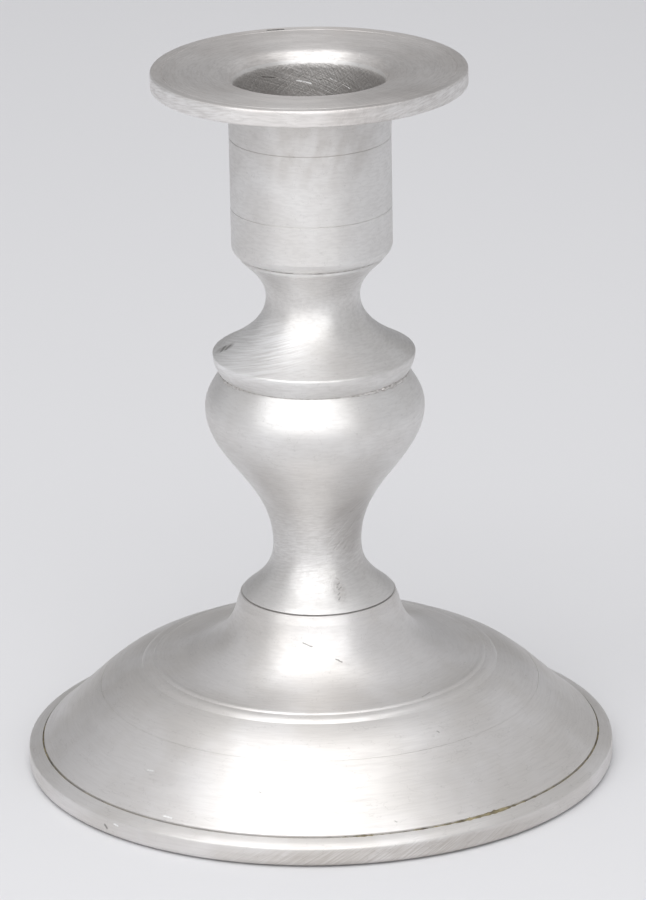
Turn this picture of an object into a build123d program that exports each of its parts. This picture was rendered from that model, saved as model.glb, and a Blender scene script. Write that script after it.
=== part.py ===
from build123d import *
from math import hypot
import os

# A short pewter pillar candlestick, in millimetres, with +Z up. The origin is the middle of
# the underside, where the foot stands on the table. All but the nut is turned about Z.

# Fits and cuts
FIT_CLEARANCE = 0.1
THREAD_CLEARANCE = 0.05
BED_CLEARANCE = 0.3
CUT_OVERRUN = 2.0
SCORE_DEPTH = 0.08

# Open seams of the stem: the upper piece is relieved round its edge, so that it bears inside
SEAM_GAP = 0.2
SEAM_DEPTH = 0.6

# Foot ring: an upright band with a crowned rim, a rebate for the dome and a recess below
FOOT_DIAMETER = 90.4
FOOT_RIM_WIDTH = 2.05
FOOT_RIM_RISE = 0.9
FOOT_CROWN_SHARES = (0.6, 0.7)
FOOT_SEAM_GAP = 0.25
FOOT_LAND_WIDTH = 3.0
FOOT_LEDGE_WIDTH = 3.0
FOOT_LEDGE_THICKNESS = 1.0
FOOT_EDGE_EASE = 0.2
FOOT_GROUND_EASE = 0.8

# Closing disc and felt, both let into the foot ring
BASE_PLATE_THICKNESS = 1.0
FELT_THICKNESS = 0.8

# Spun dome, whose edge stands a little above the foot ring's rim
DOME_RISE = 23.0
DOME_NECK_DIAMETER = 24.0
DOME_WALL = 1.0
DOME_EDGE_LAND = 0.2
DOME_EDGE_STEP = 0.25
DOME_TOP_EASE = 0.25

# Curves of the dome, from its edge to its neck, as shares of its reach and its rise: the
# ogee edge, the crowned band, the two beads and the hollow flare
DOME_OGEE_SHARES = [(0.915, 0.083), (0.773, 0.295), (0.706, 0.358)]
DOME_BAND_SHARES = [(0.621, 0.459), (0.500, 0.507)]
DOME_LOWER_BEAD_SHARES = [(0.484, 0.539), (0.443, 0.539)]
DOME_UPPER_BEAD_SHARES = [(0.435, 0.556), (0.411, 0.551)]
DOME_FLARE_SHARES = [(0.182, 0.568), (0.050, 0.707), (0.014, 0.939)]

# Baluster, cored from both ends to the stem's wall
STEM_WALL = 1.8
BALUSTER_HEIGHT = 35.65
BALUSTER_FOOT_DIAMETER = 23.44
BALUSTER_WAIST_DIAMETER = 13.5
BALUSTER_BELLY_DIAMETER = 33.46
BALUSTER_TOP_DIAMETER = 28.7
WAIST_HEIGHT_SHARE = 0.224
BELLY_HEIGHT_SHARE = 0.847
FLARE_HANDLE_SHARES = (0.77, 0.168)
WAIST_BELOW_SHARE = 0.616
WAIST_ABOVE_SHARE = 0.468
BELLY_BELOW_SHARE = 0.352
BELLY_ABOVE_SHARE = 0.404
SHOULDER_HANDLE_SHARES = (0.33, 0.752)

# Spigots of the baluster: a ring into the neck above and a pilot into the dome below
REGISTER_HEIGHT = 0.6
PILOT_WALL = 1.2
PILOT_LENGTH_SHARE = 0.8

# Neck: a spool with a flared collar below
NECK_HEIGHT = 18.55
COLLAR_DIAMETER = 30.84
COLLAR_HEIGHT = 3.1
COLLAR_EDGE_EASE = 0.2
COLLAR_SWELL_SHARE = 0.55
THROAT_DIAMETER = 14.24
NECK_TOP_DIAMETER = 22.1
NECK_LIP_HEIGHT = 0.3
THROAT_HEIGHT_SHARE = 0.573
COLLAR_HANDLE_SHARES = (0.506, 0.243)
THROAT_BELOW_SHARE = 0.452
THROAT_ABOVE_SHARE = 0.541
NECK_LIP_HANDLE_SHARES = (0.02, 0.08)

# Candle socket: a thin cup with a boss below, a little wider above its upper scored line
BORE_DIAMETER = 22.8
SOCKET_WALL = 0.8
SOCKET_SPREAD = 0.15
SOCKET_LENGTH = 26.35
SOCKET_FLOOR = 3.2
SOCKET_FLOOR_EASE = 0.6
SOCKET_FOOT_DIAMETER = 22.1
SOCKET_FOOT_RISE = 1.55
SOCKET_FOOT_SHARE = 0.76
LOWER_SCORE_SHARE = 0.288
UPPER_SCORE_SHARE = 0.703
BOSS_LENGTH = 7.0

# Drip pan: a flat disc that sinks a little to a rounded mouth
PAN_DIAMETER = 47.6
PAN_THICKNESS = 2.55
PAN_DISH = 0.65
PAN_SEAT_DEPTH = 0.6
PAN_TOP_EASE = 0.4
PAN_BELOW_EASE = 0.25
PAN_SCORE_INSET = 1.7
MOUTH_REACH = 2.3
MOUTH_DEPTH = 2.5
MOUTH_ROUND_SHARE = 0.45

# Draw rod, washer and nut
ROD_DIAMETER = 5.0
ROD_GRIP = 8.5
ROD_TAIL = 2.0
WASHER_DIAMETER = 16.0
WASHER_THICKNESS = 1.2
NUT_ACROSS_FLATS = 8.0
NUT_HEIGHT = 4.0

# Levels up the axis
PLATE_TOP = FELT_THICKNESS + BASE_PLATE_THICKNESS
LEDGE_TOP = PLATE_TOP + FOOT_LEDGE_THICKNESS
DOME_EDGE = LEDGE_TOP + DOME_WALL + DOME_EDGE_LAND
RIM_TOP = DOME_EDGE - DOME_EDGE_STEP
DOME_TOP = DOME_EDGE + DOME_RISE
BALUSTER_TOP = DOME_TOP + BALUSTER_HEIGHT
COLLAR_EDGE = BALUSTER_TOP + COLLAR_HEIGHT
NECK_TOP = BALUSTER_TOP + NECK_HEIGHT
PAN_BOTTOM = NECK_TOP + SOCKET_LENGTH
PAN_TOP = PAN_BOTTOM + PAN_THICKNESS
WASHER_BOTTOM = DOME_TOP - DOME_WALL - WASHER_THICKNESS
NUT_BOTTOM = WASHER_BOTTOM - NUT_HEIGHT
ROD_BOTTOM = NUT_BOTTOM - ROD_TAIL
ROD_TOP = NECK_TOP - BOSS_LENGTH + ROD_GRIP

# Radii
FOOT_RADIUS = FOOT_DIAMETER / 2
REBATE_RADIUS = FOOT_RADIUS - FOOT_RIM_WIDTH
RECESS_RADIUS = FOOT_RADIUS - FOOT_LAND_WIDTH
LEDGE_RADIUS = RECESS_RADIUS - FOOT_LEDGE_WIDTH
DOME_EDGE_RADIUS = REBATE_RADIUS - FOOT_SEAM_GAP
BORE_RADIUS = BORE_DIAMETER / 2
SOCKET_RADIUS = BORE_RADIUS + SOCKET_WALL
SOCKET_END_RADIUS = SOCKET_RADIUS + SOCKET_SPREAD
STEM_BORE = BALUSTER_WAIST_DIAMETER / 2 - STEM_WALL
PILOT_RADIUS = STEM_BORE + PILOT_WALL
NECK_BORE = THROAT_DIAMETER / 2 - STEM_WALL
NECK_OPENING = COLLAR_DIAMETER / 2 - STEM_WALL
ROD_RADIUS = ROD_DIAMETER / 2
TAPPED_RADIUS = ROD_RADIUS + THREAD_CLEARANCE


def turned(start, *moves):
    """A solid turned about Z. Points are (radius, height). A move of one point is a straight
    cut; of two or three, a curve whose last point is its end and the others its handles."""
    edges = []
    here = start
    for move in (*moves, [start]):
        points = [(radius, 0, height) for radius, height in (here, *move)]
        if len(move) == 1:
            edges.append(Line(*points))
        else:
            edges.append(Bezier(*points))
        here = move[-1]
    return revolve(make_face(edges), Axis.Z)


def between(first, second, share):
    """The value a share of the way from first to second."""
    return first + (second - first) * share


def on_the_way(corner, other, distance):
    """The point at a distance from a corner, towards another point."""
    share = distance / hypot(other[0] - corner[0], other[1] - corner[1])
    return (between(corner[0], other[0], share), between(corner[1], other[1], share))


def tube(inner, outer, low, high):
    """A plain ring between two radii and two levels."""
    return turned((inner, low), [(outer, low)], [(outer, high)], [(inner, high)])


def rod(radius, low, high):
    """A plain round bar between two levels."""
    return turned((0, low), [(radius, low)], [(radius, high)], [(0, high)])


def scored_line(radius, height):
    """The ring that a pointed tool cuts out of a turned face."""
    return turned(
        (radius - SCORE_DEPTH, height),
        [(radius, height - SCORE_DEPTH)],
        [(radius + SCORE_DEPTH, height)],
        [(radius, height + SCORE_DEPTH)],
    )


def foot_ring():
    """The band at the bottom: its rebate takes the dome's edge, its recess the closing disc."""
    band_top = RIM_TOP - FOOT_RIM_RISE
    lower_corner = (FOOT_RADIUS, 0)
    upper_corner = (FOOT_RADIUS, band_top)
    crown = (
        between(REBATE_RADIUS, FOOT_RADIUS, FOOT_CROWN_SHARES[0]),
        between(band_top, RIM_TOP, FOOT_CROWN_SHARES[1]),
    )
    return turned(
        (RECESS_RADIUS, 0),
        [(FOOT_RADIUS - FOOT_GROUND_EASE, 0)],
        [lower_corner, (FOOT_RADIUS, FOOT_GROUND_EASE)],
        [(FOOT_RADIUS, band_top - FOOT_EDGE_EASE)],
        [upper_corner, on_the_way(upper_corner, crown, FOOT_EDGE_EASE)],
        [crown, (REBATE_RADIUS, RIM_TOP)],
        [(REBATE_RADIUS, LEDGE_TOP)],
        [(LEDGE_RADIUS, LEDGE_TOP)],
        [(LEDGE_RADIUS, PLATE_TOP)],
        [(RECESS_RADIUS, PLATE_TOP)],
    )


def under_dome(inset, bottom):
    """All the room under the dome's outline, drawn in and down by the inset."""
    neck_radius = DOME_NECK_DIAMETER / 2

    def place(shares):
        radius = between(neck_radius, DOME_EDGE_RADIUS, shares[0])
        return (radius - inset, DOME_EDGE + DOME_RISE * shares[1] - inset)

    curves = [
        [place(shares) for shares in curve]
        for curve in (
            DOME_OGEE_SHARES,
            DOME_BAND_SHARES,
            DOME_LOWER_BEAD_SHARES,
            DOME_UPPER_BEAD_SHARES,
            DOME_FLARE_SHARES,
        )
    ]
    top = DOME_TOP - inset
    return turned(
        (0, bottom),
        [(DOME_EDGE_RADIUS - inset, bottom)],
        [(DOME_EDGE_RADIUS - inset, DOME_EDGE - inset)],
        *curves,
        [(neck_radius - inset, top - DOME_TOP_EASE)],
        [(neck_radius - inset, top), (neck_radius - inset - DOME_TOP_EASE, top)],
        [(0, top)],
    )


def base_dome():
    """The spun sheet foot, with a hole in its top for the baluster's pilot."""
    shell = under_dome(0, LEDGE_TOP) - under_dome(DOME_WALL, LEDGE_TOP - CUT_OVERRUN)
    score_reach, score_rise = DOME_OGEE_SHARES[-1]
    score_radius = between(DOME_NECK_DIAMETER / 2, DOME_EDGE_RADIUS, score_reach)
    shell -= scored_line(score_radius, DOME_EDGE + DOME_RISE * score_rise)
    return shell - rod(PILOT_RADIUS + FIT_CLEARANCE, WASHER_BOTTOM, DOME_TOP + CUT_OVERRUN)


def ballast():
    """The filling cast under the dome, with a step over the ledge and a well for the nut."""
    fill = under_dome(DOME_WALL + BED_CLEARANCE, PLATE_TOP)
    fill -= tube(
        LEDGE_RADIUS - BED_CLEARANCE,
        FOOT_RADIUS,
        PLATE_TOP - CUT_OVERRUN,
        LEDGE_TOP + BED_CLEARANCE,
    )
    fill -= rod(FOOT_RADIUS, WASHER_BOTTOM - BED_CLEARANCE, DOME_TOP + CUT_OVERRUN)
    well_radius = WASHER_DIAMETER / 2 - BED_CLEARANCE
    return fill - rod(well_radius, ROD_BOTTOM - BED_CLEARANCE, DOME_TOP)


def baluster_side(inset):
    """The baluster's waist, and the two curves from there over the belly to its top."""
    waist = (BALUSTER_WAIST_DIAMETER / 2 - inset, DOME_TOP + BALUSTER_HEIGHT * WAIST_HEIGHT_SHARE)
    belly = (BALUSTER_BELLY_DIAMETER / 2 - inset, DOME_TOP + BALUSTER_HEIGHT * BELLY_HEIGHT_SHARE)
    top = (BALUSTER_TOP_DIAMETER / 2 - inset, BALUSTER_TOP)
    flank = [
        (waist[0], between(waist[1], belly[1], WAIST_ABOVE_SHARE)),
        (belly[0], between(belly[1], waist[1], BELLY_BELOW_SHARE)),
        belly,
    ]
    shoulder = [
        (belly[0], between(belly[1], top[1], BELLY_ABOVE_SHARE)),
        (
            between(top[0], belly[0], SHOULDER_HANDLE_SHARES[0]),
            between(belly[1], top[1], SHOULDER_HANDLE_SHARES[1]),
        ),
        top,
    ]
    return waist, flank, shoulder


def baluster():
    """The pear-shaped stem casting, with a register ring on top and a pilot below."""
    waist, flank, shoulder = baluster_side(0)
    edge = (BALUSTER_FOOT_DIAMETER / 2, DOME_TOP + SEAM_GAP)
    bearing_radius = edge[0] - SEAM_DEPTH
    flare = [
        (
            between(waist[0], edge[0], FLARE_HANDLE_SHARES[0]),
            between(edge[1], waist[1], FLARE_HANDLE_SHARES[1]),
        ),
        (waist[0], between(waist[1], edge[1], WAIST_BELOW_SHARE)),
        waist,
    ]
    register_radius = NECK_OPENING - FIT_CLEARANCE
    register_top = BALUSTER_TOP + REGISTER_HEIGHT
    pilot_bottom = DOME_TOP - DOME_WALL * PILOT_LENGTH_SHARE
    casting = turned(
        (0, pilot_bottom),
        [(PILOT_RADIUS, pilot_bottom)],
        [(PILOT_RADIUS, DOME_TOP)],
        [(bearing_radius, DOME_TOP)],
        [(bearing_radius, edge[1])],
        [edge],
        flare,
        flank,
        shoulder,
        [(register_radius, BALUSTER_TOP)],
        [(register_radius, register_top)],
        [(0, register_top)],
    )
    core_waist, core_flank, core_shoulder = baluster_side(STEM_WALL)
    core_bottom = pilot_bottom - CUT_OVERRUN
    core_top = register_top + CUT_OVERRUN
    core = turned(
        (0, core_bottom),
        [(core_waist[0], core_bottom)],
        [core_waist],
        core_flank,
        core_shoulder,
        [(core_shoulder[-1][0], core_top)],
        [(0, core_top)],
    )
    return casting - core


def neck_flare(inset):
    """The collar's upper edge, and the curve from there up to the throat."""
    throat_height = between(COLLAR_EDGE, NECK_TOP, THROAT_HEIGHT_SHARE)
    edge = (COLLAR_DIAMETER / 2 - inset, COLLAR_EDGE - inset)
    throat = (THROAT_DIAMETER / 2 - inset, throat_height - inset)
    curve = [
        (
            between(throat[0], edge[0], COLLAR_HANDLE_SHARES[0]),
            between(edge[1], throat[1], COLLAR_HANDLE_SHARES[1]),
        ),
        (throat[0], between(throat[1], edge[1], THROAT_BELOW_SHARE)),
        throat,
    ]
    return edge, curve


def neck():
    """The spool above the baluster: flared collar, narrow throat and thin upper lip."""
    edge, curve = neck_flare(0)
    throat = curve[-1]
    collar_bottom = (BALUSTER_TOP_DIAMETER / 2, BALUSTER_TOP)
    collar_bulge = (edge[0], between(collar_bottom[1], edge[1], COLLAR_SWELL_SHARE))
    lip = (NECK_TOP_DIAMETER / 2, NECK_TOP - NECK_LIP_HEIGHT)
    rise = [
        (throat[0], between(throat[1], lip[1], THROAT_ABOVE_SHARE)),
        (
            between(lip[0], throat[0], NECK_LIP_HANDLE_SHARES[0]),
            between(lip[1], throat[1], NECK_LIP_HANDLE_SHARES[1]),
        ),
        lip,
    ]
    casting = turned(
        (0, BALUSTER_TOP),
        [collar_bottom],
        [collar_bulge, (edge[0], edge[1] - COLLAR_EDGE_EASE)],
        [edge, on_the_way(edge, curve[0], COLLAR_EDGE_EASE)],
        curve,
        rise,
        [(lip[0], NECK_TOP)],
        [(0, NECK_TOP)],
    )
    core_edge, core_curve = neck_flare(STEM_WALL)
    core_bottom = BALUSTER_TOP - CUT_OVERRUN
    core_top = NECK_TOP + CUT_OVERRUN
    core = turned(
        (0, core_bottom),
        [(NECK_OPENING, core_bottom)],
        [core_edge],
        core_curve,
        [(NECK_BORE, core_top)],
        [(0, core_top)],
    )
    return casting - core


def candle_mouth():
    """The candle's room, bored through pan and socket together after they are joined."""
    floor = NECK_TOP + SOCKET_FLOOR
    brow = PAN_TOP - PAN_DISH
    mouth_radius = BORE_RADIUS + MOUTH_REACH
    wall_top = brow - MOUTH_DEPTH
    top = PAN_TOP + CUT_OVERRUN
    return turned(
        (0, floor),
        [(BORE_RADIUS - SOCKET_FLOOR_EASE, floor)],
        [(BORE_RADIUS, floor), (BORE_RADIUS, floor + SOCKET_FLOOR_EASE)],
        [(BORE_RADIUS, wall_top)],
        [
            (BORE_RADIUS, between(brow, wall_top, MOUTH_ROUND_SHARE)),
            (between(BORE_RADIUS, mouth_radius, MOUTH_ROUND_SHARE), brow),
            (mouth_radius, brow),
        ],
        [(mouth_radius, top)],
        [(0, top)],
    )


def candle_socket():
    """The cup below the pan, with two scored lines and a boss tapped for the rod."""
    edge = (SOCKET_FOOT_DIAMETER / 2, NECK_TOP + SEAM_GAP)
    bearing_radius = edge[0] - SEAM_DEPTH
    boss_radius = NECK_BORE - FIT_CLEARANCE
    boss_bottom = NECK_TOP - BOSS_LENGTH
    top = PAN_BOTTOM + PAN_SEAT_DEPTH
    lower_score = between(NECK_TOP, PAN_BOTTOM, LOWER_SCORE_SHARE)
    upper_score = between(NECK_TOP, PAN_BOTTOM, UPPER_SCORE_SHARE)
    cup = turned(
        (0, boss_bottom),
        [(boss_radius, boss_bottom)],
        [(boss_radius, NECK_TOP)],
        [(bearing_radius, NECK_TOP)],
        [(bearing_radius, edge[1])],
        [edge],
        [
            (between(edge[0], SOCKET_RADIUS, SOCKET_FOOT_SHARE), edge[1]),
            (SOCKET_RADIUS, NECK_TOP + SOCKET_FOOT_RISE),
        ],
        [(SOCKET_RADIUS, upper_score)],
        [(SOCKET_END_RADIUS, PAN_BOTTOM)],
        [(SOCKET_END_RADIUS, top)],
        [(0, top)],
    )
    for height in (lower_score, upper_score):
        cup -= scored_line(SOCKET_RADIUS, height)
    cup -= rod(TAPPED_RADIUS, boss_bottom - CUT_OVERRUN, ROD_TOP + BED_CLEARANCE)
    return cup - candle_mouth()


def drip_pan():
    """The disc round the mouth, with a seat in its underside for the socket's end."""
    radius = PAN_DIAMETER / 2
    rim = (radius, PAN_TOP)
    brow = (BORE_RADIUS + MOUTH_REACH, PAN_TOP - PAN_DISH)
    disc = turned(
        (0, PAN_BOTTOM),
        [(radius - PAN_BELOW_EASE, PAN_BOTTOM)],
        [(radius, PAN_BOTTOM), (radius, PAN_BOTTOM + PAN_BELOW_EASE)],
        [(radius, PAN_TOP - PAN_TOP_EASE)],
        [rim, on_the_way(rim, brow, PAN_TOP_EASE)],
        [brow],
        [(0, brow[1])],
    )
    score_point = on_the_way(rim, brow, PAN_SCORE_INSET)
    disc -= scored_line(*score_point)
    disc -= rod(SOCKET_END_RADIUS, PAN_BOTTOM - CUT_OVERRUN, PAN_BOTTOM + PAN_SEAT_DEPTH)
    return disc - candle_mouth()


def rod_nut():
    """The hexagon nut under the washer."""
    hexagon = RegularPolygon(NUT_ACROSS_FLATS / 2, side_count=6, major_radius=False)
    block = Pos(0, 0, NUT_BOTTOM) * extrude(hexagon, NUT_HEIGHT)
    return block - rod(TAPPED_RADIUS, NUT_BOTTOM - CUT_OVERRUN, WASHER_BOTTOM + CUT_OVERRUN)


PIECES = {
    "foot_ring": foot_ring(),
    "base_dome": base_dome(),
    "ballast": ballast(),
    "base_plate": rod(RECESS_RADIUS - FIT_CLEARANCE, FELT_THICKNESS, PLATE_TOP),
    "felt_pad": rod(RECESS_RADIUS - FIT_CLEARANCE, 0, FELT_THICKNESS),
    "baluster": baluster(),
    "neck": neck(),
    "candle_socket": candle_socket(),
    "drip_pan": drip_pan(),
    "draw_rod": rod(ROD_RADIUS, ROD_BOTTOM, ROD_TOP),
    "rod_washer": tube(ROD_RADIUS + FIT_CLEARANCE, WASHER_DIAMETER / 2, WASHER_BOTTOM, DOME_TOP - DOME_WALL),
    "rod_nut": rod_nut(),
}

os.makedirs("parts", exist_ok=True)
for node, piece in PIECES.items():
    export_step(piece, f"parts/{node}.step")
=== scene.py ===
# %% [markdown]
# # A pewter pillar candlestick
# Six turned and spun pieces of pewter stand on each other: a drip pan, a candle socket, a
# neck, a baluster, a domed foot and a ring under it. The shapes come from the packed
# model, and this lesson gives them their camera, their light and their finish.

# %% Load the frame
import math
import bpy
from mathutils import Matrix, Vector, noise


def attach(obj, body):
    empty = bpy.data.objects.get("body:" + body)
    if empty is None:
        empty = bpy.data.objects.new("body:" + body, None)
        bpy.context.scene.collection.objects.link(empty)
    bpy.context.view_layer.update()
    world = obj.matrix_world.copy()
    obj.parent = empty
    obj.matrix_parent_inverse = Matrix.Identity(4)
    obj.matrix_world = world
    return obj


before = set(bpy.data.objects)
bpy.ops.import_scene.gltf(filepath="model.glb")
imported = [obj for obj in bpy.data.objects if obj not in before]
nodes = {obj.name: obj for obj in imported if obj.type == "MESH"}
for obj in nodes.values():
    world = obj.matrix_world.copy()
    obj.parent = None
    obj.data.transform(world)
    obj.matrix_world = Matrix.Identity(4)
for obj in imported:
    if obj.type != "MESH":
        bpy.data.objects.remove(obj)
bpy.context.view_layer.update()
print("nodes:", sorted(nodes))

# %% [markdown]
# ## Camera
# The photograph was taken with a long lens from a little above the table, and its picture
# leans by a degree. A camera can be set by angles, but an eye point and an aim point are
# easier to read, so the three axes of the camera are worked out from those two.

# %% Camera
MM = 0.001
CAMERA_EYE = Vector((0, -848, 345.3)) * MM
CAMERA_AIM = Vector((1.11, 0, 49.64)) * MM
CAMERA_LEAN = math.radians(-1.0)
CAMERA_LENS_MM = 235.4

forward = (CAMERA_AIM - CAMERA_EYE).normalized()
level_right = forward.cross(Vector((0, 0, 1))).normalized()
level_up = level_right.cross(forward)
right = level_right * math.cos(CAMERA_LEAN) + level_up * math.sin(CAMERA_LEAN)
up = right.cross(forward)

camera = bpy.data.objects.new("camera", bpy.data.cameras.new("camera"))
bpy.context.scene.collection.objects.link(camera)
camera.data.lens = CAMERA_LENS_MM
axes = Matrix((right, up, -forward)).transposed().to_4x4()
camera.matrix_world = Matrix.Translation(CAMERA_EYE) @ axes
bpy.context.scene.camera = camera
print("camera", round((CAMERA_AIM - CAMERA_EYE).length / MM), "mm from its aim")

# %% [markdown]
# ## Helpers for materials
# A material is a small graph of nodes. One function adds any node, with its settings and
# its links, so that each material below reads as a list of steps. Colours are written as
# they look on a screen and turned to the linear values that light is counted in.

# %% Helpers for materials
def linear(hex_colour):
    """An sRGB hex colour as linear red, green, blue and a full alpha."""
    parts = [int(hex_colour[i:i + 2], 16) / 255 for i in (1, 3, 5)]
    return [c / 12.92 if c <= 0.04045 else ((c + 0.055) / 1.055) ** 2.4 for c in parts] + [1]


def add_node(tree, kind, settings=None, inputs=None):
    """Adds a node of any kind. An input is a plain value, or a node or a socket to link from."""
    made = tree.nodes.new("ShaderNode" + kind)
    for name, value in (settings or {}).items():
        setattr(made, name, value)
    for key, value in (inputs or {}).items():
        if isinstance(value, bpy.types.Node):
            value = next(output for output in value.outputs if output.enabled)
        if isinstance(value, bpy.types.NodeSocket):
            tree.links.new(value, made.inputs[key])
        else:
            made.inputs[key].default_value = value
    return made


def new_material(name):
    """An empty material and its node tree."""
    material = bpy.data.materials.new(name)
    material.use_nodes = True
    material.node_tree.nodes.clear()
    return material, material.node_tree


def set_material(piece, material):
    """Gives a whole piece one material."""
    piece.data.materials.clear()
    piece.data.materials.append(material)
    print(piece.name, "is", material.name, "of", len(material.node_tree.nodes), "nodes")


# %% [markdown]
# ## Paper floor
# The candlestick stands on pale paper, a hair above it on the pile of its felt pad. Paper could
# have a grain of its own, but at this distance none shows. Matt paper sends light evenly to all
# sides, so a rough surface with little gloss is all it needs.

# %% Paper floor
FLOOR_SIZE = 12.0
FELT_PILE = 0.2 * MM

bpy.ops.mesh.primitive_plane_add(size=FLOOR_SIZE, location=(0, 0, -FELT_PILE))
floor = bpy.context.object
floor.name = "floor"
paper, tree = new_material("pale_studio_paper")
surface = add_node(tree, "BsdfPrincipled", {}, {
    "Base Color": linear("#D6D6D8"), "Roughness": 0.9, "Specular IOR Level": 0.2})
add_node(tree, "OutputMaterial", {}, {"Surface": surface})
set_material(floor, paper)

# %% [markdown]
# ## The air of the room
# Satin metal shows little but its surroundings, so even the plain air round the candlestick
# helps to paint it. The air is dimmer behind the candlestick than before it, as in a room that
# is lit from the front. A picture of a room could give this, but one smooth step between two
# strengths is enough.

# %% The air of the room
SMOOTH = {"interpolation_type": "SMOOTHSTEP"}
DOT = {"operation": "DOT_PRODUCT"}
AIR_FRONT = 0.58
AIR_BACK = 0.28
BACK_WAY = (-0.25, 0.92, -0.3)
DIMMING_STARTS = 0.35
DIMMING_ENDS = 0.85

world = bpy.data.worlds.new("pale_air")
bpy.context.scene.world = world
world.use_nodes = True
tree = world.node_tree
tree.nodes.clear()
way = add_node(tree, "TexCoord").outputs["Generated"]
backward = add_node(tree, "VectorMath", DOT, {0: way, 1: BACK_WAY})
strength = add_node(tree, "MapRange", SMOOTH, {
    "Value": backward, "From Min": DIMMING_STARTS, "From Max": DIMMING_ENDS,
    "To Min": AIR_FRONT, "To Max": AIR_BACK})
air = add_node(tree, "Background", {}, {"Color": linear("#F5F5F7"), "Strength": strength})
add_node(tree, "OutputWorld", {}, {"Surface": air})
print("air", AIR_FRONT, "before the candlestick and", AIR_BACK, "behind it")

# %% [markdown]
# ## Lamps
# One softbox hangs overhead, a little to the left, and two wide panels stand one above the
# other behind the camera. A lamp's power is worked out from how bright its face should look,
# which is easier to judge than watts. Places and sizes are in metres.

# %% Lamps
LIGHT_AIM = Vector((0, 0, 0.05))


def softbox(name, place, size, brightness):
    """A rectangular lamp turned to the candlestick, its face at the given brightness."""
    lamp = bpy.data.objects.new(name, bpy.data.lights.new(name, "AREA"))
    bpy.context.scene.collection.objects.link(lamp)
    lamp.data.shape = "RECTANGLE"
    lamp.data.size, lamp.data.size_y = size
    lamp.data.energy = brightness * math.pi * size[0] * size[1]
    lamp.location = place
    lamp.rotation_mode = "QUATERNION"
    lamp.rotation_quaternion = (Vector(place) - LIGHT_AIM).to_track_quat("Z", "Y")
    lamp.visible_camera = False
    print(name, round(lamp.data.energy, 1), "W")


softbox("softbox_overhead", place=(-0.08, -0.20, 1.05), size=(1.00, 1.2), brightness=1.66)
softbox("panel_high", place=(-0.25, -1.11, 1.12), size=(3.2, 0.70), brightness=1.28)
softbox("panel_low", place=(-0.25, -1.48, 0.48), size=(3.4, 0.92), brightness=1.13)
bpy.context.scene.view_settings.view_transform = "Standard"

# %% [markdown]
# ## Where a point lies on a turned piece
# Everything on a lathe is counted from its axis. The marks of turning and rubbing follow the
# circles round it, so the patterns below need a point's distance from the axis, its height
# and its way round. The way round is kept as a direction and not as an angle, because an angle
# jumps where the circle closes and would leave a seam there. Noise of four dimensions takes
# both parts of that direction.

# %% Where a point lies on a turned piece
SUBTRACT = {"operation": "SUBTRACT"}
MULTIPLY = {"operation": "MULTIPLY"}
SCALE = {"operation": "SCALE"}


def turned_place(tree):
    """A point in millimetres, and its radius, its height and its way round the axis."""
    place = add_node(tree, "TexCoord").outputs["Object"]
    point = add_node(tree, "VectorMath", SCALE, {0: place, "Scale": 1 / MM})
    level = add_node(tree, "VectorMath", MULTIPLY, {0: point, 1: (1, 1, 0)})
    radius = add_node(tree, "VectorMath", {"operation": "LENGTH"}, {0: level})
    way = add_node(tree, "VectorMath", {"operation": "NORMALIZE"}, {0: level})
    height = add_node(tree, "SeparateXYZ", {}, {0: point}).outputs["Z"]
    return {"point": point, "radius": radius, "height": height, "way": way}


def lathe_streaks(tree, place, spacing, streaks, detail=2.0):
    """Noise drawn out round the axis, by its spacing in mm up the form and its streaks a turn."""
    way = add_node(tree, "SeparateXYZ", {}, {0: place["way"]})
    where = add_node(tree, "CombineXYZ", {}, {
        "X": place["radius"], "Y": place["height"], "Z": way.outputs["X"]})
    sized = add_node(tree, "VectorMath", MULTIPLY, {
        0: where, 1: (1 / spacing, 1 / spacing, streaks / math.tau)})
    fourth = add_node(tree, "Math", MULTIPLY, {0: way.outputs["Y"], 1: streaks / math.tau})
    return add_node(tree, "TexNoise", {"noise_dimensions": "4D"}, {
        "Vector": sized, "W": fourth, "Scale": 1.0, "Detail": detail})


# %% [markdown]
# ## Turning marks
# A lathe and an abrasive leave fine lines, broader bands that shine a little more or less, and
# here and there a longer hair scratch, all of them round the piece. An image of brushed metal
# could be wrapped round it, but its ends would meet in a seam. The lines are drawn a little
# coarser than the real ones, which are too fine for the picture.

# %% Turning marks
LINE_SPACING = 0.34
LINE_STREAKS = 60
BAND_SPACING = 1.6
BAND_STREAKS = 14
HAIR_SPACING = 2.2
HAIR_STREAKS = 40
HAIR_WIDTH = 0.006
NOISE_MIDDLE = 0.5


def turning_marks(tree, place):
    """Fine lines, broad bands and a few hair scratches round the axis."""
    lines = lathe_streaks(tree, place, LINE_SPACING, LINE_STREAKS)
    bands = lathe_streaks(tree, place, BAND_SPACING, BAND_STREAKS)
    hairs = lathe_streaks(tree, place, HAIR_SPACING, HAIR_STREAKS, detail=3.0)
    # A hair lies where its noise crosses the middle, so it stays thin however far it runs.
    off_hair = add_node(tree, "Math", SUBTRACT, {0: hairs, 1: NOISE_MIDDLE})
    off_hair = add_node(tree, "Math", {"operation": "ABSOLUTE"}, {0: off_hair})
    hair = add_node(tree, "MapRange", SMOOTH, {
        "Value": off_hair, "From Min": HAIR_WIDTH, "From Max": 0.0})
    return lines, bands, hair


# %% [markdown]
# ## Strokes with a place of their own
# A rubbed surface isn't even: a cloth or a file leaves a patch of slanting strokes, paler where
# it is fresh and duller where it was missed. A pale patch also serves here as a painted highlight.
# It could be painted on an image, but a few numbers say the same: where the patch lies, how far it
# reaches and how its strokes slant. Round its own middle the surface is laid out flat, with the
# break on the far side of the piece.

# %% Strokes with a place of their own
PATCH_EDGE = 1.0
PATCH_CORE = 0.1


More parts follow.
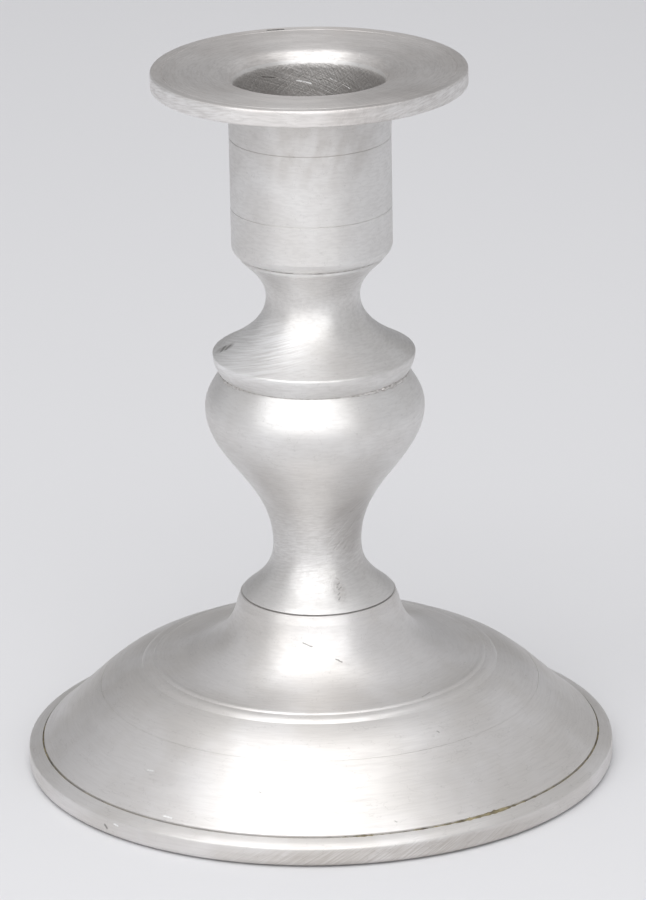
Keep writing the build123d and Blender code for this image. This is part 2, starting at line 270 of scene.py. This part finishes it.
def stroke_patch(tree, place, turn, height, girth, reach, slant, stroke, reach_out=20.0):
    """Slanting strokes, and how near a point is to the middle of their patch.

    Turn and slant are in degrees, and reach is degrees round and mm up. A stroke is a width
    and a length in mm. Girth is the radius there, and reach_out is how far from it they go.
    """
    middle = math.radians(turn)
    aside = add_node(tree, "VectorMath", DOT, {
        0: place["way"], 1: (math.cos(middle), math.sin(middle), 0)})
    ahead = add_node(tree, "VectorMath", DOT, {
        0: place["way"], 1: (math.sin(middle), -math.cos(middle), 0)})
    off_turn = add_node(tree, "Math", {"operation": "ARCTAN2"}, {0: aside, 1: ahead})
    here = add_node(tree, "CombineXYZ", {}, {
        "X": off_turn, "Y": place["height"], "Z": place["radius"]})
    off = add_node(tree, "VectorMath", SUBTRACT, {0: here, 1: (0, height, girth)})

    flat = add_node(tree, "VectorMath", MULTIPLY, {0: off, 1: (girth, 1, 0)})
    slanted = add_node(tree, "Mapping", {"vector_type": "TEXTURE"}, {
        "Vector": flat, "Rotation": (0, 0, math.radians(slant)),
        "Scale": (stroke[1], stroke[0], 1)})
    strokes = add_node(tree, "TexNoise", {"noise_dimensions": "2D"}, {
        "Vector": slanted, "Scale": 1.0, "Detail": 2.0})

    # The square of the distance, as a share of the reach, fades the patch from core to edge.
    share = add_node(tree, "VectorMath", {"operation": "DIVIDE"}, {
        0: off, 1: (math.radians(reach[0]), reach[1], reach_out)})
    far = add_node(tree, "VectorMath", DOT, {0: share, 1: share})
    near = add_node(tree, "MapRange", SMOOTH, {
        "Value": far, "From Min": PATCH_EDGE, "From Max": PATCH_CORE})
    return strokes, near


# %% [markdown]
# ## Nicks
# A knock leaves a nick, a short line with two ends and a width. It could be cut in the mesh, but
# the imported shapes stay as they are. A point belongs to a nick when it is near the closest point
# of that line, and the closest point is found by going along the line as far as the point lies
# along it, but not past its ends.

# %% Nicks
NICK_CORE_SHARE = 0.2


def nick(tree, point, start, end, width):
    """How near a point is to a short line, from 0 at its width to 1 on it, in millimetres."""
    way = Vector(end) - Vector(start)
    off = add_node(tree, "VectorMath", SUBTRACT, {0: point, 1: start})
    along = add_node(tree, "VectorMath", DOT, {0: off, 1: way / way.length_squared})
    held = add_node(tree, "Clamp", {}, {"Value": along})
    closest = add_node(tree, "VectorMath", SCALE, {0: way, "Scale": held})
    away = add_node(tree, "VectorMath", {"operation": "DISTANCE"}, {0: off, 1: closest})
    return add_node(tree, "MapRange", SMOOTH, {
        "Value": away, "From Min": width, "From Max": NICK_CORE_SHARE * width})


# %% [markdown]
# ## Marks of use
# Rubbing and knocks leave two things on soft metal: a tint, where it is fresher or duller, and a
# relief. Each mark could be a material of its own, but the metal goes on under it, so a mark is
# only a share of a tint and a height, and the pewter adds them to its own.

# %% Marks of use
MULTIPLY_ADD = {"operation": "MULTIPLY_ADD"}
SPREAD = {"From Min": 0.3, "From Max": 0.7}
STROKE_FULL = 1.1
STROKE_FAINT = 0.4
NICK_RELIEF = -3.0
RAGGED = 0.24
RAGGED_GRAIN = 1 / 3


def patch_marks(tree, place, patches):
    """Tints and heights of patches: each a depth, a tint, its share and what its strokes need."""
    tints, heights = [], []
    for depth, tint, share, where in patches:
        strokes, near = stroke_patch(tree, place, **where)
        level = add_node(tree, "Math", SUBTRACT, {0: strokes, 1: NOISE_MIDDLE})
        heights.append((add_node(tree, "Math", MULTIPLY, {0: level, 1: near}), depth))
        uneven = add_node(tree, "MapRange", SMOOTH, {
            "Value": strokes, "To Min": STROKE_FULL * share, "To Max": STROKE_FAINT * share,
            **SPREAD})
        tints.append((add_node(tree, "Math", MULTIPLY, {0: near, 1: uneven}), tint))
    return tints, heights


def nick_marks(tree, place, nicks):
    """Tints and heights of nicks: each a tint, its share, a width and two ends in mm."""
    # A little noise moves the points first, so that a nick's edges come out ragged.
    jitter = add_node(tree, "TexNoise", {}, {"Vector": place["point"], "Scale": 1 / RAGGED_GRAIN})
    moved = add_node(tree, "VectorMath", MULTIPLY_ADD, {
        0: jitter.outputs["Color"], 1: [RAGGED] * 3, 2: place["point"]})
    ragged = add_node(tree, "VectorMath", SUBTRACT, {0: moved, 1: [RAGGED / 2] * 3})
    tints, heights = [], []
    for tint, share, width, start, end in nicks:
        dent = nick(tree, ragged, start, end, width)
        heights.append((dent, NICK_RELIEF))
        tints.append((add_node(tree, "Math", MULTIPLY, {0: dent, 1: share}), tint))
    return tints, heights


# %% [markdown]
# ## Brushed pewter
# Pewter is tin with a little copper and antimony, a soft grey metal with a faint warm cast.
# Here it was turned on a lathe and rubbed with fine abrasive, so its grain runs round the
# piece and its highlights smear across the grain. Its thin dull film scatters a little light,
# so it is matched as not quite all metal. A plain rough metal could stand for it, but the eye
# knows brushed metal by its lines. They act as a fine relief, as uneven polish and as a slight
# change of tone, because the real ones do all three.

# %% Brushed pewter
COLOUR = {"data_type": "RGBA"}
CLOUD_SIZE = 13.0
CLOUD_SPREAD = {"From Min": 0.35, "From Max": 0.65}
LINE_SPREAD = {"From Min": 0.35, "From Max": 0.7}
LINE_TINT = "#A8A5A2"
LINE_SHARE = 0.08
LINE_RELIEF = 0.006
BAND_RELIEF = 0.7
HAIR_TINT = "#8A8682"
HAIR_SHARE = 0.18
HAIR_RELIEF = -0.5
ROUGHNESS_LOW = 0.40
ROUGHNESS_HIGH = 0.48
BAND_ROUGHNESS = 0.03
METAL_SHARE = 0.8
GRAIN_STRETCH = 0.5
ACROSS_THE_GRAIN = 0.25


def brushed_pewter(name, rubbing, patches=(), nicks=(), tones=("#E3E2E1", "#D9D7D5")):
    """Turned pewter with its grain round the Z axis, rubbed hard or lightly."""
    material, tree = new_material(name)
    place = turned_place(tree)
    lines, bands, hair = turning_marks(tree, place)
    patch_tints, patch_heights = patch_marks(tree, place, patches)
    nick_tints, nick_heights = nick_marks(tree, place, nicks)

    # Inputs 6 and 7 of a Mix node are the two colours that it goes between.
    clouds = add_node(tree, "TexNoise", {}, {
        "Vector": place["point"], "Scale": 1 / CLOUD_SIZE, "Detail": 3.0})
    cloudy = add_node(tree, "MapRange", SMOOTH, {"Value": clouds, **CLOUD_SPREAD})
    tone = add_node(tree, "Mix", COLOUR, {0: cloudy, 6: linear(tones[0]), 7: linear(tones[1])})
    line_share = add_node(tree, "MapRange", SMOOTH, {
        "Value": lines, "To Max": LINE_SHARE * rubbing, **LINE_SPREAD})
    hair_share = add_node(tree, "Math", MULTIPLY, {0: hair, 1: HAIR_SHARE})
    tints = [(line_share, LINE_TINT), (hair_share, HAIR_TINT), *patch_tints, *nick_tints]
    for share, tint in tints:
        tone = add_node(tree, "Mix", COLOUR, {0: share, 6: tone, 7: linear(tint)})

    relief = lines
    heights = [(bands, BAND_RELIEF), (hair, HAIR_RELIEF), *patch_heights, *nick_heights]
    for pattern, depth in heights:
        relief = add_node(tree, "Math", MULTIPLY_ADD, {0: pattern, 1: depth, 2: relief})
    bump = add_node(tree, "Bump", {}, {
        "Strength": 1.0, "Distance": LINE_RELIEF * rubbing * MM, "Height": relief})

    line_polish = add_node(tree, "MapRange", SMOOTH, {
        "Value": lines, "To Min": ROUGHNESS_LOW, "To Max": ROUGHNESS_HIGH, **SPREAD})
    band_polish = add_node(tree, "MapRange", SMOOTH, {
        "Value": bands, "To Min": -BAND_ROUGHNESS, "To Max": BAND_ROUGHNESS, **SPREAD})
    polish = add_node(tree, "Math", {"operation": "ADD"}, {0: line_polish, 1: band_polish})
    tangent = add_node(tree, "Tangent", {"direction_type": "RADIAL", "axis": "Z"})
    surface = add_node(tree, "BsdfPrincipled", {}, {
        "Base Color": tone, "Metallic": METAL_SHARE, "Roughness": polish,
        "Anisotropic": GRAIN_STRETCH, "Anisotropic Rotation": ACROSS_THE_GRAIN,
        "Tangent": tangent, "Normal": bump})
    add_node(tree, "OutputMaterial", {}, {"Surface": surface})
    return material


# %% [markdown]
# ## Drip pan
# The pan catches the wax. It is a cast disc, turned all over and rubbed harder than the rest, so
# its streaks are the strongest and its metal is a shade deeper. Both sides of its rim get a painted
# highlight, a white tint laid in rubbing streaks, and it has a few file strokes on the right and a
# dark pit at the back. The rim could be a material of its own, but patches that stay close to its
# radius run over its edges as rubbing does.

# %% Drip pan
DULL = "#8F8985"
# White, for fresh bright scratches and for painted highlights.
FRESH_AND_HIGHLIGHT = "#FFFFFF"
PIT = "#3A3734"
file_strokes = (1.0, DULL, 0.25, dict(
    turn=40, height=109, girth=24, reach=(40, 4), slant=60, stroke=(0.25, 1.5)))
# Painted highlight: a white tint in rubbing streaks on the left and right of the rim face.
rim_highlights_and_rubbing = [
    (0.5, FRESH_AND_HIGHLIGHT, share, dict(
        turn=turn, height=108.8, girth=23.8, reach=(reach, 2.2), reach_out=0.5,
        slant=10, stroke=(0.25, 2.5)))
    for turn, reach, share in ((-62, 52, 0.50), (52, 40, 0.45))]
rim_pit = (PIT, 0.95, 0.35, (-6.14, 22.0, 110.0), (-3.85, 22.4, 110.0))
set_material(nodes["drip_pan"], brushed_pewter(
    "brushed_pewter_pan", rubbing=4.2, tones=("#DCD9D7", "#D2CECB"),
    patches=[file_strokes, *rim_highlights_and_rubbing], nicks=[rim_pit]))

# %% [markdown]
# ## Candle socket
# Candles have been pushed into the socket and dug out with a knife, so the wall of its bore is
# scraped in three directions, with a few bright and dark scratches at the back. One noise would
# show no direction, so three patches of strokes that reach all the way round cross each other
# there, held to the bore by its radius. Under the pan the outside is stained a little.

# %% Candle socket
DARK = "#5E5A56"
STAIN = "#968C81"
BORE_RADIUS = 11.4
bore_scrapes = [
    (5.0, DULL, 0.23, dict(
        turn=180, height=95, girth=BORE_RADIUS, reach=(400, 40), reach_out=0.12,
        slant=slant, stroke=stroke))
    for slant, stroke in ((24, (0.28, 5.0)), (-38, (0.25, 3.0)), (65, (0.30, 1.5)))]
stain = (0.2, STAIN, 0.28, dict(
    turn=5, height=101.5, girth=12.4, reach=(60, 9), reach_out=1.0, slant=75, stroke=(3.0, 8.0)))
bore_scratches = [
    (FRESH_AND_HIGHLIGHT, 0.9, 0.20, (-1.83, 11.25, 105.07), (0.28, 11.39, 104.52)),
    (DARK, 0.6, 0.18, (-7.1, 8.92, 106.29), (-5.15, 10.17, 105.75)),
    (DARK, 0.3, 0.15, (-3.97, 10.68, 104.01), (1.95, 11.23, 105.01)),
    (FRESH_AND_HIGHLIGHT, 0.4, 0.15, (3.16, 10.95, 105.38), (6.16, 9.59, 104.13))]
set_material(nodes["candle_socket"], brushed_pewter(
    "brushed_pewter_socket", rubbing=1.6,
    patches=[*bore_scrapes, stain], nicks=bore_scratches))

# %% [markdown]
# ## Neck
# The neck flares to a collar, and a hand with a cloth goes round the flare at a slant. On the
# left its strokes carry a painted highlight, a near white tint that brightens the flare, and a
# knock by the collar's edge left a smudge of short dents. Strokes all the way round would look like
# a machine's work, so one patch holds them to the left.

# %% Neck
# Painted highlight: a near white tint in the cloth strokes on the left of the flare.
cloth_strokes_and_highlight = (3.5, FRESH_AND_HIGHLIGHT, 0.85, dict(
    turn=-55, height=68.5, girth=11.5, reach=(60, 5), slant=15, stroke=(0.20, 6.0)))
collar_smudge = [
    (DULL, 0.45, 1.3, (-14.1, -1.00, 66.35), (-12.8, -1.70, 67.20)),
    (DARK, 0.55, 0.45, (-14.0, -1.95, 66.32), (-13.5, -0.84, 66.80)),
    (DARK, 0.55, 0.40, (-13.3, -2.20, 66.75), (-12.7, -1.66, 67.25))]
set_material(nodes["neck"], brushed_pewter(
    "brushed_pewter_neck", rubbing=2.2, patches=[cloth_strokes_and_highlight], nicks=collar_smudge))

# %% [markdown]
# ## Baluster
# The baluster is the part that a hand takes hold of. Its waist was cleaned with something coarse,
# in strokes that rise to the right, and it is duller there than on the belly. A turning tool
# chattered at its flared foot and left a short column of ticks. Strokes alone could stand for all
# of this, but the eye finds the single cuts, so the longest of them are drawn one by one.

# %% Baluster
waist_strokes = [
    (8.0, DULL, 0.20, dict(
        turn=42, height=39.5, girth=7.3, reach=(42, 7.5), slant=slant, stroke=(0.17, 6.0)))
    for slant in (30, 47)]
waist_film = (5.0, DULL, 0.22, dict(
    turn=5, height=36.5, girth=7.3, reach=(150, 9.5), slant=8, stroke=(0.24, 2.0)))
chatter = [
    (4.0, DULL, share, dict(
        turn=turn, height=height, girth=8.5, reach=reach, slant=slant, stroke=(0.25, 0.7)))
    for share, turn, height, reach, slant in (
        (0.26, 21, 29.8, (9, 2.0), 30), (0.03, 0, 31.2, (40, 2.4), 65))]
waist_cuts = [
    (DULL, 0.35, 0.11, (2.36, -6.34, 35.69), (6.11, -4.75, 40.39)),
    (FRESH_AND_HIGHLIGHT, 0.22, 0.10, (2.65, -6.25, 35.70), (6.30, -4.50, 40.30)),
    (DULL, 0.35, 0.10, (4.04, -5.42, 35.48), (6.56, -3.15, 38.99)),
    (FRESH_AND_HIGHLIGHT, 0.18, 0.10, (1.61, -6.64, 36.63), (4.72, -6.15, 40.43)),
    (DULL, 0.35, 0.12, (5.04, -6.72, 41.93), (7.05, -6.11, 43.61))]
ticks = [
    (DARK, 0.3, 0.10, (2.70, -7.05, 31.45), (3.15, -7.05, 31.20)),
    (DARK, 0.4, 0.12, (2.95, -7.65, 30.50), (3.30, -7.30, 30.75)),
    (DARK, 0.3, 0.10, (2.75, -8.05, 30.05), (2.95, -7.80, 30.25)),
    (DARK, 0.4, 0.12, (3.05, -8.15, 29.90), (3.60, -7.70, 30.20)),
    (DARK, 0.4, 0.12, (3.05, -8.75, 29.30), (3.35, -8.45, 29.50)),
    (DARK, 0.5, 0.12, (3.10, -9.40, 28.75), (3.40, -9.00, 29.00))]
set_material(nodes["baluster"], brushed_pewter(
    "brushed_pewter_baluster", rubbing=1.4,
    patches=[*waist_strokes, waist_film, *chatter], nicks=[*waist_cuts, *ticks]))

# %% [markdown]
# ## Domed foot
# The dome is spun from sheet, and it is smoother than the turned pieces above it. It has only the
# small nicks of use: dark where dirt has settled in them, bright where they are new. Scattered
# noise could give more of them, but a few listed one by one leave the dome as calm as it is.

# %% Domed foot
WARM_TONES = ("#E2E0DF", "#D8D5D2")
dome_nicks = [
    (DARK, 0.6, 0.16, (-2.46, -12.99, 23.16), (-1.10, -13.42, 22.65)),
    (DARK, 0.7, 0.16, (2.51, -14.33, 20.98), (3.41, -14.52, 20.55)),
    (DULL, 0.5, 0.14, (15.41, -19.78, 16.69), (16.66, -17.81, 16.70)),
    (DARK, 0.4, 0.14, (-9.36, -36.62, 8.62), (-9.07, -36.79, 8.53)),
    (DARK, 0.5, 0.16, (17.48, -26.43, 13.79), (17.78, -26.51, 13.65)),
    (DARK, 0.4, 0.14, (10.80, -40.18, 5.05), (11.09, -40.26, 4.92)),
    (FRESH_AND_HIGHLIGHT, 0.9, 0.16, (-26.1, -27.29, 8.65), (-25.33, -27.9, 8.73)),
    (FRESH_AND_HIGHLIGHT, 0.9, 0.18, (-23.66, -35.15, 4.41), (-22.45, -35.95, 4.40))]
set_material(nodes["base_dome"], brushed_pewter(
    "brushed_pewter_dome", rubbing=1.3, tones=WARM_TONES, nicks=dome_nicks))

# %% [markdown]
# ## Foot ring
# The ring's upright band is handled and set down most. From the front round to the right it is
# duller than the sloping land above it, and slanting strokes cross it there. A darker ring would
# be dull all round, so one patch of strokes in the colour of old dirt is laid on the band.

# %% Foot ring
band_strokes = (2.5, STAIN, 0.42, dict(
    turn=13, height=1.0, girth=45, reach=(42, 2.3), slant=32, stroke=(0.20, 5.0)))
band_nicks = [
    (DARK, 0.7, 0.30, (-32.67, -31.22, 1.47), (-32.37, -31.54, 1.11)),
    (FRESH_AND_HIGHLIGHT, 0.9, 0.20, (-31.26, -32.63, 2.20), (-30.65, -33.22, 2.12))]
set_material(nodes["foot_ring"], brushed_pewter(
    "brushed_pewter_ring", rubbing=1.3, tones=WARM_TONES,
    patches=[band_strokes], nicks=band_nicks))

# %% [markdown]
# ## The hidden pieces
# Inside the foot a threaded steel rod, its washer and its nut hold the stack together, cast
# cement gives it weight, and a board disc with a felt pad closes it. Little or none of this
# shows, but each piece has its own finish, so that it looks right when the stack is opened.
# All of them are plain materials with a grain, so one function with a grain size makes them.

# %% A plain material with a grain
def grained(name, dark, pale, grain, roughness, relief, metallic=0.0, sheen=0.0):
    """A plain material whose tone and relief follow a grain of the given size in millimetres."""
    material, tree = new_material(name)
    grains = add_node(tree, "TexNoise", {}, {
        "Vector": turned_place(tree)["point"], "Scale": 1 / grain, "Detail": 6.0})
    share = add_node(tree, "MapRange", SMOOTH, {"Value": grains, **SPREAD})
    tone = add_node(tree, "Mix", COLOUR, {0: share, 6: linear(dark), 7: linear(pale)})
    bump = add_node(tree, "Bump", {}, {
        "Strength": 1.0, "Distance": relief * MM, "Height": grains})
    surface = add_node(tree, "BsdfPrincipled", {}, {
        "Base Color": tone, "Metallic": metallic, "Roughness": roughness, "Sheen Weight": sheen,
        "Normal": bump})
    add_node(tree, "OutputMaterial", {}, {"Surface": surface})
    return material


# %% The hidden pieces
# Zinc plating gives the rod, washer and nut a bluish grey shine with a fine spangle.
steel = grained(
    "zinc_plated_mild_steel", "#8F9296", "#B4B7BA",
    grain=0.8, roughness=0.35, relief=0.01, metallic=1.0)
for name in ("draw_rod", "rod_washer", "rod_nut"):
    set_material(nodes[name], steel)
# Cast cement is matt and sandy, and pressed board is matt with a fine fibre.
set_material(nodes["ballast"], grained(
    "cast_cement", "#9C978E", "#BDB8AE", grain=1.5, roughness=0.9, relief=0.12))
set_material(nodes["base_plate"], grained(
    "pressed_grey_board", "#857868", "#A29480", grain=0.6, roughness=0.85, relief=0.03))
# The fibres of pressed felt catch the light at a low angle, which is its sheen.
set_material(nodes["felt_pad"], grained(
    "pressed_wool_felt", "#22382C", "#35523F", grain=0.5, roughness=0.95, relief=0.10, sheen=0.4))

# %% [markdown]
# ## Rings that aren't quite round
# Thin rings show where the pieces were joined by hand: solder under the neck's collar and under
# the socket, and old polish that dried in the gap round the dome. Each is a small bead swept
# round the axis, whose thickness wanders. A curve could be swept, but a mesh built point by
# point can swell and shrink as it goes, so one function lays its rings of points.

# %% How thick a bead is
COARSE_LUMPS = 6
COARSE_SHARE = 0.5
FINE_LUMPS_PER_MM = 1.1
FINE_SHARE = 0.9
FINE_SEED_STEP = 9
THINNEST_SHARE = 0.15


def bead_thickness(way, turn, radius, thickness, swells, seed):
    """A bead's thickness in mm at one turn. A swell is a turn, a reach and an amount."""
    fullness = 1.0
    for middle, reach, amount in swells:
        off = (turn - middle + 180) % 360 - 180
        fullness += amount * math.exp(-((off / reach) ** 2))
    coarse = noise.noise(way * COARSE_LUMPS + Vector((0, 0, seed)))
    fine = noise.noise(way * radius * FINE_LUMPS_PER_MM + Vector((0, 0, seed + FINE_SEED_STEP)))
    lumps = 1 + COARSE_SHARE * coarse + FINE_SHARE * fine
    return thickness * fullness * max(THINNEST_SHARE, lumps)


# %% Rings that aren't quite round
RING_STEPS = 480
BEAD_SIDES = 10


def bead_ring(name, radius, height, thickness, swells, seed, flatten=1.0):
    """A bead of wandering thickness round the axis, in mm. Flatten is its height by its width."""
    points = []
    for i in range(RING_STEPS):
        turn = 360 * i / RING_STEPS
        way = Vector((math.sin(math.radians(turn)), -math.cos(math.radians(turn)), 0))
        thick = bead_thickness(way, turn, radius, thickness, swells, seed)
        for j in range(BEAD_SIDES):
            side = math.tau * j / BEAD_SIDES
            out = way * (radius + thick * math.cos(side))
            points.append((out + Vector((0, 0, height + flatten * thick * math.sin(side)))) * MM)
    faces = []
    for i in range(RING_STEPS):
        here, there = i * BEAD_SIDES, (i + 1) % RING_STEPS * BEAD_SIDES
        for j in range(BEAD_SIDES):
            k = (j + 1) % BEAD_SIDES
            faces.append((here + j, here + k, there + k, there + j))
    mesh = bpy.data.meshes.new(name)
    mesh.from_pydata(points, [], faces)
    mesh.shade_smooth()
    piece = bpy.data.objects.new(name, mesh)
    bpy.context.scene.collection.objects.link(piece)
    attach(piece, "root")
    return piece


# %% [markdown]
# ## Solder and dried polish
# Soft solder is a dull silvery metal that set in small lumps. Dried polish is a matt olive crust,
# nearly black where it is thin. Both could be painted into the seams, but a bead of its own
# catches the light and casts a shadow there, as the real one does.

# %% Solder and dried polish
solder = grained(
    "soft_solder", "#B0ACA8", "#DEDCDA", grain=0.6, roughness=0.45, relief=0.02, metallic=0.8)
set_material(bead_ring(
    "collar_solder", radius=14.42, height=62.66, thickness=0.03,
    swells=[(52, 22, 11), (-60, 16, 8)], seed=3), solder)
set_material(bead_ring(
    "socket_solder", radius=10.93, height=81.30, thickness=0.11,
    swells=[(70, 40, 0.3)], seed=5), solder)

crust = grained(
    "dried_metal_polish", "#4F483B", "#918768", grain=2.0, roughness=0.9, relief=0.05)
set_material(bead_ring(
    "dried_polish", radius=43.02, height=3.50, thickness=0.10, flatten=1.5,
    swells=[(9, 5, 1.0), (31, 14, 1.7), (60, 30, 0.5)], seed=11), crust)
